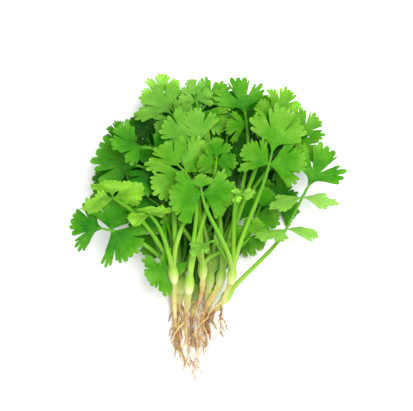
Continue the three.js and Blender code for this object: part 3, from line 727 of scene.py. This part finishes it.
def newGroup(name, inputs, outputs):
    group = bpy.data.node_groups.new(name, "ShaderNodeTree")
    for label, kind, value in inputs:
        socket = group.interface.new_socket(label, in_out="INPUT", socket_type=kind)
        if value is not None:
            socket.default_value = value
    for label in outputs:
        group.interface.new_socket(label, in_out="OUTPUT", socket_type="NodeSocketFloat")
    return group, group.nodes.new("NodeGroupInput"), group.nodes.new("NodeGroupOutput")


# Adds a node, sets its fields and inputs, and returns it. A socket among the inputs is linked.
def add(tree, kind, inputs=None, **fields):
    node = tree.nodes.new("ShaderNode" + kind)
    for name, value in fields.items():
        setattr(node, name, value)
    for name, value in (inputs or {}).items():
        if isinstance(value, bpy.types.NodeSocket):
            tree.links.new(value, node.inputs[name])
        else:
            node.inputs[name].default_value = value
    return node


def calc(tree, operation, *values, clamp=False):
    return add(tree, "Math", dict(enumerate(values)), operation=operation,
               use_clamp=clamp).outputs[0]


def plus(tree, a, b, clamp=False):
    return calc(tree, "ADD", a, b, clamp=clamp)


def times(tree, a, b):
    return calc(tree, "MULTIPLY", a, b)


def minus(tree, a, b, clamp=False):
    return calc(tree, "SUBTRACT", a, b, clamp=clamp)


def mixColour(tree, share, a, b):
    return add(tree, "Mix", {0: share, 6: a, 7: b}, data_type="RGBA").outputs[2]


def stored(tree, name):
    return add(tree, "Attribute", attribute_name=name).outputs["Fac"]


def ramp(tree, share, stops):
    node = add(tree, "ValToRGB", {0: share})
    while len(node.color_ramp.elements) < len(stops):
        node.color_ramp.elements.new(0.5)
    for element, (at, value) in zip(node.color_ramp.elements, stops):
        element.position = at
        element.color = value
    return node.outputs[0]


veinForm = {
    # degrees from the tip's way, and weight
    "ribs": [(0, 1.2), (13, 0.6), (26, 0.7), (43, 0.6), (54, 1.0), (65, 0.7), (76, 0.6),
             (180, 1.5)],
    "width": 0.016, "netScale": 22.0, "netLine": 0.09,
}


# Veins that fan out from a blade's hub to its teeth, in the blade's own flat coordinates.
def makeVeins():
    group, start, end = newGroup("bladeVeins", [("Vector", "NodeSocketVector", None),
                                                ("Width", "NodeSocketFloat", veinForm["width"])],
                                 ["Veins", "Net"])
    where, width = start.outputs["Vector"], start.outputs["Width"]
    split = add(group, "SeparateXYZ", {"Vector": where})
    x = calc(group, "ABSOLUTE", split.outputs["X"])
    y = minus(group, split.outputs["Y"], leafForm["hubShare"])
    angle = calc(group, "ARCTAN2", x, y)
    away = calc(group, "SQRT", plus(group, times(group, x, x), times(group, y, y)))
    veins = None
    for degrees, weight in veinForm["ribs"]:
        apart = calc(group, "ABSOLUTE", minus(group, angle, math.radians(degrees)))
        beside = calc(group, "DIVIDE", times(group, apart, away), times(group, width, weight))
        line = minus(group, 1, beside, clamp=True)
        veins = line if veins is None else calc(group, "MAXIMUM", veins, line)
    net = add(group, "TexVoronoi", {"Vector": where, "Scale": veinForm["netScale"]},
              feature="DISTANCE_TO_EDGE").outputs["Distance"]
    lines = minus(group, 1, calc(group, "DIVIDE", net, veinForm["netLine"]), clamp=True)
    group.links.new(veins, end.inputs["Veins"])
    group.links.new(lines, end.inputs["Net"])
    return group


mottleForm = {"scale": 60.0, "fine": 0.4, "fineScale": 9.0, "detail": 3.0, "fineDetail": 2.0}


# Uneven patches, from broad clouds to fine grain.
def makeMottle():
    f = mottleForm
    group, start, end = newGroup("mottle", [("Vector", "NodeSocketVector", None),
                                            ("Scale", "NodeSocketFloat", f["scale"]),
                                            ("Fine", "NodeSocketFloat", f["fine"])], ["Value"])
    where, scale = start.outputs["Vector"], start.outputs["Scale"]
    broad = add(group, "TexNoise", {"Vector": where, "Scale": scale, "Detail": f["detail"]})
    fine = add(group, "TexNoise", {"Vector": where, "Detail": f["fineDetail"],
                                   "Scale": times(group, scale, f["fineScale"])})
    mixed = add(group, "Mix", {0: start.outputs["Fine"], 2: broad.outputs[0], 3: fine.outputs[0]})
    group.links.new(mixed.outputs[0], end.inputs["Value"])
    return group


veinGroup = makeVeins()
mottleGroup = makeMottle()


def mottle(tree, where, scale, fine):
    return add(tree, "Group", {"Vector": where, "Scale": scale, "Fine": fine},
               node_tree=mottleGroup).outputs[0]


def newMaterial(name):
    material = bpy.data.materials.new(name)
    material.use_nodes = True
    material.node_tree.nodes.clear()
    return material, material.node_tree


def coordinates(tree, uvName):
    where = add(tree, "TexCoord").outputs["Object"]
    return where, add(tree, "UVMap", uv_map=uvName).outputs[0]


# The shader of a look, with its bump. more holds the inputs that only some looks have.
def skinShader(tree, base, height, look, more=None):
    bump = add(tree, "Bump", {"Height": height, "Distance": look["bumpDistance"],
                              "Strength": look["bumpStrength"]})
    return add(tree, "BsdfPrincipled", {"Base Color": base, "Roughness": look["roughness"],
                                        "Specular IOR Level": look["specular"],
                                        "Normal": bump.outputs[0], **(more or {})}).outputs[0]


leafLook = {
    # from the darkest tone, painted shade for the low leaves under the others, to the palest
    "ramp": [(0, colour(4, 68, 0)), (0.2, colour(22, 108, 2)), (0.5, colour(66, 143, 10)),
             (0.78, colour(108, 170, 42)), (1, colour(154, 222, 60))],
    "cloudScale": 90.0, "cloudFine": 0.3, "cloudShare": 0.9, "paintedLightOutwardFrom": 0.6,
    "paintedLightOutwardShare": 0.26, "paintedRimLight": colour(108, 170, 42), "paintedRimLightFrom": 0.75, "paintedRimLightShare": 0.96,
    "paintedSheen": colour(152, 206, 98), "paintedSheenShare": 0.6,
    "paintedGloss": 1.6, "paintedGlossScale": 45.0, "paintedGlossFine": 0.2,
    "vein": colour(156, 206, 92), "veinShare": 0.1, "netShare": 0.04,
    "swell": 5.0, "swellScale": 190.0, "swellFine": 0.2,
    "bumpDistance": 0.00025, "bumpStrength": 0.8, "specular": 0.12, "ior": 1.42,
    "through": 0.25, "throughColour": colour(66, 186, 2), "throughShare": 0.4,
}
topLook = {"veinHeight": -0.22, "netHeight": -0.2, "roughness": 0.5}
underLook = {"veinHeight": 0.7, "netHeight": 0.25, "roughness": 0.6,
             "pale": colour(120, 160, 90), "paleShare": 0.45}


def leafMaterial(name, face):
    look = {**leafLook, **face}
    material, tree = newMaterial(name)
    where, uv = coordinates(tree, "blade")
    tone, outward = stored(tree, "tone"), stored(tree, "outward")
    cloud = minus(tree, mottle(tree, where, look["cloudScale"], look["cloudFine"]), 0.5)
    shifted = plus(tree, tone, times(tree, cloud, look["cloudShare"]))
    # Painted shade and light: the tone is shifted darker toward the leaflet's hub, where the blade
    # folds, and lighter toward its edge.
    shifted = plus(tree, shifted, times(tree, minus(tree, outward, look["paintedLightOutwardFrom"]),
                                        look["paintedLightOutwardShare"]))
    base = ramp(tree, shifted, look["ramp"])
    # Painted light: a paler rim along each leaflet's edge.
    paintedRimLight = times(tree, minus(tree, outward, look["paintedRimLightFrom"], clamp=True), look["paintedRimLightShare"])
    base = mixColour(tree, paintedRimLight, base, look["paintedRimLight"])
    lines = add(tree, "Group", {"Vector": uv, "Width": veinForm["width"]}, node_tree=veinGroup)
    veins, net = lines.outputs["Veins"], lines.outputs["Net"]
    line = plus(tree, times(tree, veins, look["veinShare"]), times(tree, net, look["netShare"]))
    base = mixColour(tree, line, base, look["vein"])
    # Painted highlight: pale patches for the gloss of the light, more on the brighter leaves.
    paintedGloss = mottle(tree, where, look["paintedGlossScale"], look["paintedGlossFine"])
    paintedGloss = times(tree, minus(tree, paintedGloss, 0.5, clamp=True), look["paintedGloss"])
    paintedGloss = times(tree, paintedGloss, tone)
    # Painted sheen: each leaf's own share of a pale colour that stands for the gloss of the light,
    # with the patches above added.
    paintedSheen = plus(tree, stored(tree, "paintedSheen"), paintedGloss, clamp=True)
    base = mixColour(tree, times(tree, paintedSheen, look["paintedSheenShare"]), base, look["paintedSheen"])
    if "pale" in look:
        base = mixColour(tree, look["paleShare"], base, look["pale"])
    height = plus(tree, times(tree, veins, look["veinHeight"]),
                  times(tree, net, look["netHeight"]))
    swell = mottle(tree, where, look["swellScale"], look["swellFine"])
    height = plus(tree, height, times(tree, swell, look["swell"]))
    shine = skinShader(tree, base, height, look, {"IOR": look["ior"]})
    light = mixColour(tree, look["throughShare"], base, look["throughColour"])
    glow = add(tree, "BsdfTranslucent", {"Color": light}).outputs[0]
    both = add(tree, "MixShader", {0: look["through"], 1: shine, 2: glow}).outputs[0]
    add(tree, "OutputMaterial", {"Surface": both})
    return material


stalkLook = {
    # from the leaf down to the crown
    "ramp": [(0, colour(76, 154, 12)), (0.4, colour(116, 178, 34)), (0.7, colour(152, 186, 74)),
             (1, colour(212, 212, 156))],
    "cloudScale": 70.0, "cloudFine": 0.35, "cloudShare": 0.45, "cloudHeight": 0.8,
    "ribs": 9, "rib": colour(152, 186, 74), "ribShare": 0.16,
    "shaded": colour(14, 90, 0), "shadedShare": 0.88, "bumpDistance": 0.00035,
    "bumpStrength": 0.7, "roughness": 0.42, "specular": 0.3, "ior": 1.42, "subsurface": 0.25,
    "subsurfaceScale": 0.002,
}


def stalkMaterial():
    look = stalkLook
    material, tree = newMaterial("stalk")
    where, uv = coordinates(tree, "strand")
    cloud = mottle(tree, where, look["cloudScale"], look["cloudFine"])
    shifted = plus(tree, stored(tree, "pale"),
                   times(tree, minus(tree, cloud, 0.5), look["cloudShare"]))
    base = ramp(tree, shifted, look["ramp"])
    girth = add(tree, "SeparateXYZ", {"Vector": uv}).outputs["X"]
    ribs = calc(tree, "SINE", times(tree, girth, 2 * math.pi * look["ribs"]))
    ribs = calc(tree, "MULTIPLY_ADD", ribs, 0.5, 0.5)
    base = mixColour(tree, times(tree, ribs, look["ribShare"]), base, look["rib"])
    # Painted shade: the stalks of the lower plants are darkened toward a deep green.
    shade = times(tree, stored(tree, "shade"), look["shadedShare"])
    base = mixColour(tree, shade, base, look["shaded"])
    height = plus(tree, ribs, times(tree, cloud, look["cloudHeight"]))
    shine = skinShader(tree, base, height, look, {
        "IOR": look["ior"], "Subsurface Weight": look["subsurface"],
        "Subsurface Scale": look["subsurfaceScale"]})
    add(tree, "OutputMaterial", {"Surface": shine})
    return material


rootLook = {
    # from the crown down to the tip
    "ramp": [(0.04, colour(156, 170, 78)), (0.3, colour(208, 202, 130)),
             (1, colour(204, 184, 126))],
    "cloudScale": 150.0, "cloudFine": 0.35, "cloudShare": 2.2,
    "streaks": 0.9, "streakStretch": (9.0, 7.0, 1.0), "unevenDown": 2.2, "unevenTop": 0.12,
    "rust": colour(156, 84, 34), "rustGain": 0.9,
    "soil": colour(90, 48, 22), "soilFrom": 0.75, "soilGain": 2.4,
    "grainScale": 900.0, "grainShare": 0.5, "bumpDistance": 0.0006, "bumpStrength": 0.8,
    "roughness": 0.55, "specular": 0.35,
}


def rootMaterial():
    look = rootLook
    material, tree = newMaterial("root")
    where, uv = coordinates(tree, "strand")
    down = stored(tree, "down")
    cloud = mottle(tree, where, look["cloudScale"], look["cloudFine"])
    stretched = add(tree, "VectorMath", {0: uv, 1: look["streakStretch"]}, operation="MULTIPLY")
    streaks = add(tree, "TexNoise", {"Vector": stretched.outputs[0], "Scale": 1.0, "Detail": 2.0})
    uneven = plus(tree, times(tree, minus(tree, cloud, 0.5), look["cloudShare"]),
                  times(tree, minus(tree, streaks.outputs[0], 0.5), look["streaks"]))
    held = calc(tree, "MULTIPLY_ADD", down, look["unevenDown"], look["unevenTop"], clamp=True)
    patches = plus(tree, times(tree, stored(tree, "rust"), look["rustGain"]),
                   times(tree, uneven, held), clamp=True)
    base = mixColour(tree, patches, ramp(tree, down, look["ramp"]), look["rust"])
    spots = times(tree, minus(tree, patches, look["soilFrom"], clamp=True), look["soilGain"])
    base = mixColour(tree, spots, base, look["soil"])
    grain = add(tree, "TexNoise", {"Vector": where, "Scale": look["grainScale"], "Detail": 2.0})
    height = plus(tree, cloud, times(tree, grain.outputs[0], look["grainShare"]))
    add(tree, "OutputMaterial", {"Surface": skinShader(tree, base, height, look)})
    return material


leafTop = leafMaterial("leafTop", topLook)
leafUnder = leafMaterial("leafUnder", underLook)
stalkSkin = stalkMaterial()
rootSkin = rootMaterial()
print("materials made")


def smoothed(piece, degrees):
    bpy.ops.object.shade_smooth_by_angle(angle=math.radians(degrees))
    return piece


bladeFinish = {"thickness": 0.38 * mm, "smooth": 50}


def makeLeaves(name, plant, draw):
    blades = []
    for leaf in plant["leaves"]:
        for one in leaf["leaflets"]:
            blades.append(placeBlade(one, len(blades), draw))
    piece = joinPieces(blades, name)
    piece.data.materials.append(leafTop)
    piece.data.materials.append(leafUnder)
    solid = piece.modifiers.new("thickness", "SOLIDIFY")
    solid.thickness = bladeFinish["thickness"]
    solid.offset = 0
    solid.material_offset = 1
    bpy.ops.object.modifier_apply(modifier=solid.name)
    return smoothed(piece, bladeFinish["smooth"])


stalkForm = {
    "sides": 12, "ridges": 6, "ridgeDepth": 0.05, "ringSpacing": 3.0, "leastRings": 8,
    "ribRadius": 0.7, "pale": 0.8, "palePower": 1.8, "shadeFrom": 0.62, "smooth": 60,
    "sheathSides": 20, "sheathRidges": 4, "sheathDepth": 0.05, "sheathRings": 24,
    "sheathSlim": 0.93, "sheathDome": 4.6, "sheathEnd": 0.03,
    "sheathPale": (0.6, 1.06), "sheathPower": 1.6, "sheathShade": 0.6,
}


def makeStalks(name, plant, rank):
    f = stalkForm
    tubes = []
    # Painted shade: the stalks of the lower plants, in the shade of those laid over them, are
    # darkened, their sheaths less.
    shade = max(f["shadeFrom"] - rank, 0) / f["shadeFrom"]
    for leaf in plant["leaves"]:
        points = list(leaf["strand"][::lay["ringStride"]])
        radii = list(leaf["radii"][::lay["ringStride"]])
        if "pair" in leaf["leaf"]:
            points.append(leaf["joint"])
            radii.append(lay["stalkRadii"][-1])
        points.append(leaf["rib"])
        radii.append(f["ribRadius"])
        length = sum(np.linalg.norm(b - a) for a, b in zip(points, points[1:]))
        line, wide = smoothLine(points, radii, max(f["leastRings"], int(length / f["ringSpacing"])))
        tube = rollTube(line, wide, f["sides"], f["ridges"], f["ridgeDepth"])
        share = np.repeat(np.linspace(1, 0, len(line) + 2), f["sides"] + 1)
        attributeOn(tube, "pale", share ** f["palePower"] * f["pale"])
        attributeOn(tube, "shade", shade)
        tubes.append(tube)
    top, middle, joint = plant["crown"]
    shoulder = middle + (joint - middle) * lay["crownShoulder"]
    radii = [r * lay["crownRadius"] for r in lay["crownProfile"]] + [plant["plant"]["thick"]]
    line, wide = smoothLine([top, middle, shoulder, joint], radii, f["sheathRings"])
    left = np.clip(np.linalg.norm(line - joint, axis=1) / f["sheathDome"], f["sheathEnd"], 1)
    wide = wide * f["sheathSlim"] * np.sqrt(1 - (1 - left) ** 2)
    sheath = rollTube(line, wide, f["sheathSides"], f["sheathRidges"], f["sheathDepth"])
    share = np.linspace(*f["sheathPale"], len(line) + 2) ** f["sheathPower"]
    attributeOn(sheath, "pale", np.repeat(share, f["sheathSides"] + 1))
    attributeOn(sheath, "shade", shade * f["sheathShade"])
    piece = joinPieces(tubes + [sheath], name)
    closeTubes(piece)
    piece.data.materials.append(stalkSkin)
    return smoothed(piece, f["smooth"])


rootForm = {
    "sides": 10, "ridges": 3, "ridgeDepth": 0.06, "wobble": 0.16, "rings": 32, "startShare": 0.5,
    "easing": 4, "slim": 0.78, "tipSlim": 0.6, "tipPower": 3, "smooth": 60,
    "rustAt": (0.36, 0.3), "rustReach": 0.24, "rustShare": (0.55, 0.85),
    "rootletSides": 6, "rootletRings": 9, "rootletDown": 0.8,
    "hairs": {"count": 26, "radius": 0.16, "reach": (5, 11), "start": (0.4, 0.57)},
    "strays": {"count": 3, "radius": 0.13, "reach": (12, 16), "start": (0.5, 0.46)},
}
hairForm = {
    "sides": 4, "rings": 9, "taper": 1.4, "ahead": 0.5, "aside": (-0.9, 1.8), "along": (-0.3, 0.6),
    "curl": 0.6, "sway": (0, 6), "waves": (7, 5), "bend": (0.3, 1.1), "bendShare": 0.12,
    "fall": 0.45, "past": 7.5, "lowest": 0.3, "rust": (-0.1, 1.3),
}


# A root hair: it leaves the root at the line's point i, wanders and comes down to the table.
def rollHair(line, i, reach, radius, draw):
    f = hairForm
    ahead = line[min(i + 1, len(line) - 1)] - line[min(i, len(line) - 2)]
    ahead = (ahead / np.linalg.norm(ahead) - (0, 1, 0)) * f["ahead"]
    reach = min(reach, line[i][1] - line[-1][1] + f["past"])
    aside = np.array([draw(f["aside"]), draw(f["along"]), 0])
    sway, bend = draw(f["sway"]), draw(f["bend"]) * f["bendShare"]
    hair = []
    for s in np.linspace(0, 1, f["rings"]):
        wave = [math.sin(sway + f["waves"][0] * s), math.cos(sway + f["waves"][1] * s), 0]
        p = line[i] + reach * s * (ahead + aside * (1 - f["curl"] * s) + np.array(wave) * bend)
        p[2] = max(p[2] - f["fall"] * reach * s * s, f["lowest"])
        hair.append(p)
    tube = rollTube(hair, radius * (f["taper"] - np.linspace(0, 1, len(hair))), f["sides"])
    attributeOn(tube, "down", 1.0)
    attributeOn(tube, "rust", draw(f["rust"]))
    return tube


def makeRoots(name, plant, draw):
    f = rootForm
    stride = lay["ringStride"]
    middle, joint = plant["crown"][1:]
    points = [middle + (joint - middle) * f["startShare"], plant["rootTop"]]
    points += list(plant["root"][::stride])
    for _ in range(f["easing"]):
        points[1:-1] = [(a + 2 * b + c) / 4 for a, b, c in zip(points, points[1:], points[2:])]
    radii = [plant["plant"]["thick"]] * 2 + list(plant["rootRadii"][::stride])
    line, wide = smoothLine(points, radii, f["rings"])
    share = np.linspace(0, 1, len(line))
    wide = wide * (f["slim"] + (1 - f["slim"]) * share)
    wide = wide * (1 - f["tipSlim"] * share ** f["tipPower"])
    main = rollTube(line, wide, f["sides"], f["ridges"], f["ridgeDepth"], f["wobble"], draw)
    share = np.linspace(0, 1, len(line) + 2)
    rust = np.exp(-((share - draw(f["rustAt"])) / f["rustReach"]) ** 2) * draw(f["rustShare"])
    attributeOn(main, "down", np.repeat(share, f["sides"] + 1))
    attributeOn(main, "rust", np.repeat(rust, f["sides"] + 1))
    tubes = [main]
    for rootlet in plant["rootlets"]:
        fine, fineWide = smoothLine(rootlet, lay["rootletRadii"], f["rootletRings"])
        tube = rollTube(fine, fineWide, f["rootletSides"], wobble=f["wobble"], draw=draw)
        attributeOn(tube, "down", f["rootletDown"])
        attributeOn(tube, "rust", draw())
        tubes.append(tube)
    for kind in (f["hairs"], f["strays"]):
        for _ in range(kind["count"]):
            i = int(draw(kind["start"]) * (len(line) - 1))
            tubes.append(rollHair(line, i, draw(kind["reach"]), kind["radius"], draw))
    piece = joinPieces(tubes, name)
    closeTubes(piece)
    piece.data.materials.append(rootSkin)
    return smoothed(piece, f["smooth"])


pieceSeed, pieceSeedStep = 4001, 53
for k, plant in enumerate(laid):
    draw = makeRandom(pieceSeed + pieceSeedStep * k)
    title = "plant_" + str(k + 1).zfill(2) + "_"
    leaves = makeLeaves(title + "leaves", plant, draw)
    stalks = makeStalks(title + "stalks", plant, k / (len(laid) - 1))
    roots = makeRoots(title + "roots", plant, draw)
    for piece, slot, node in ((leaves, "leaf", "greens"), (stalks, "leaf", "greens"),
                              (roots, "root", "root")):
        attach(piece, "root")
        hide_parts(title + node)
    low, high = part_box(title + "greens")
    both = np.vstack([coordsOf(leaves), coordsOf(stalks)])
    apart = max(np.abs(both.min(0) - low).max(), np.abs(both.max(0) - high).max())
    print("plant", k + 1, "leaves", len(leaves.data.polygons), "stalks", len(stalks.data.polygons),
          "roots", len(roots.data.polygons), "furthest from its solid's box",
          round(apart / mm, 1), "mm")

# The forms that were copied aren't part of the bunch.
for form in sum(bladeForms.values(), list(tubeForms.values())):
    bpy.data.objects.remove(form)

studio = {
    "floorSize": 6, "floorDrop": 0.0005, "floor": (0.95, 0.95, 0.95, 1), "floorRoughness": 0.9,
    "world": (1, 1, 1, 1), "worldStrength": 1.0,
    "lightAt": (0.55, 0.45, 1.95), "lightSize": 1.3, "lightPower": 50,
    "centre": (-0.00293, 0.0178, 0.04), "cameraHeight": 2.0, "frameWidth": 0.30975,
    "sensor": 36, "clipEnd": 20,
}
deselect()
bpy.ops.mesh.primitive_plane_add(size=studio["floorSize"], location=(0, 0, -studio["floorDrop"]))
floor = bpy.context.object
floor.name = "floor"
floorPaint, tree = newMaterial("floorPaint")
paint = add(tree, "BsdfPrincipled", {"Base Color": studio["floor"],
                                     "Roughness": studio["floorRoughness"]})
add(tree, "OutputMaterial", {"Surface": paint.outputs[0]})
floor.data.materials.append(floorPaint)

world = bpy.data.worlds.new("studio")
bpy.context.scene.world = world
world.use_nodes = True
world.node_tree.nodes["Background"].inputs[0].default_value = studio["world"]
world.node_tree.nodes["Background"].inputs[1].default_value = studio["worldStrength"]

# One broad soft light from the upper right, turned to the origin.
bpy.ops.object.light_add(type="AREA", location=studio["lightAt"])
light = bpy.context.object
light.name = "key"
light.data.shape = "DISK"
light.data.size = studio["lightSize"]
light.data.energy = studio["lightPower"]
light.rotation_euler = (-Vector(studio["lightAt"])).to_track_quat("-Z", "Y").to_euler()

# The camera looks straight down.
bpy.ops.object.camera_add(location=(*studio["centre"][:2], studio["cameraHeight"]))
camera = bpy.context.object
camera.name = "camera"
camera.rotation_euler = (0, 0, 0)
distance = studio["cameraHeight"] - studio["centre"][2]
camera.data.sensor_width = studio["sensor"]
camera.data.lens = studio["sensor"] * distance / studio["frameWidth"]
camera.data.clip_end = studio["clipEnd"]
bpy.context.scene.camera = camera
bpy.context.scene.view_settings.view_transform = "Standard"
print("stage set")
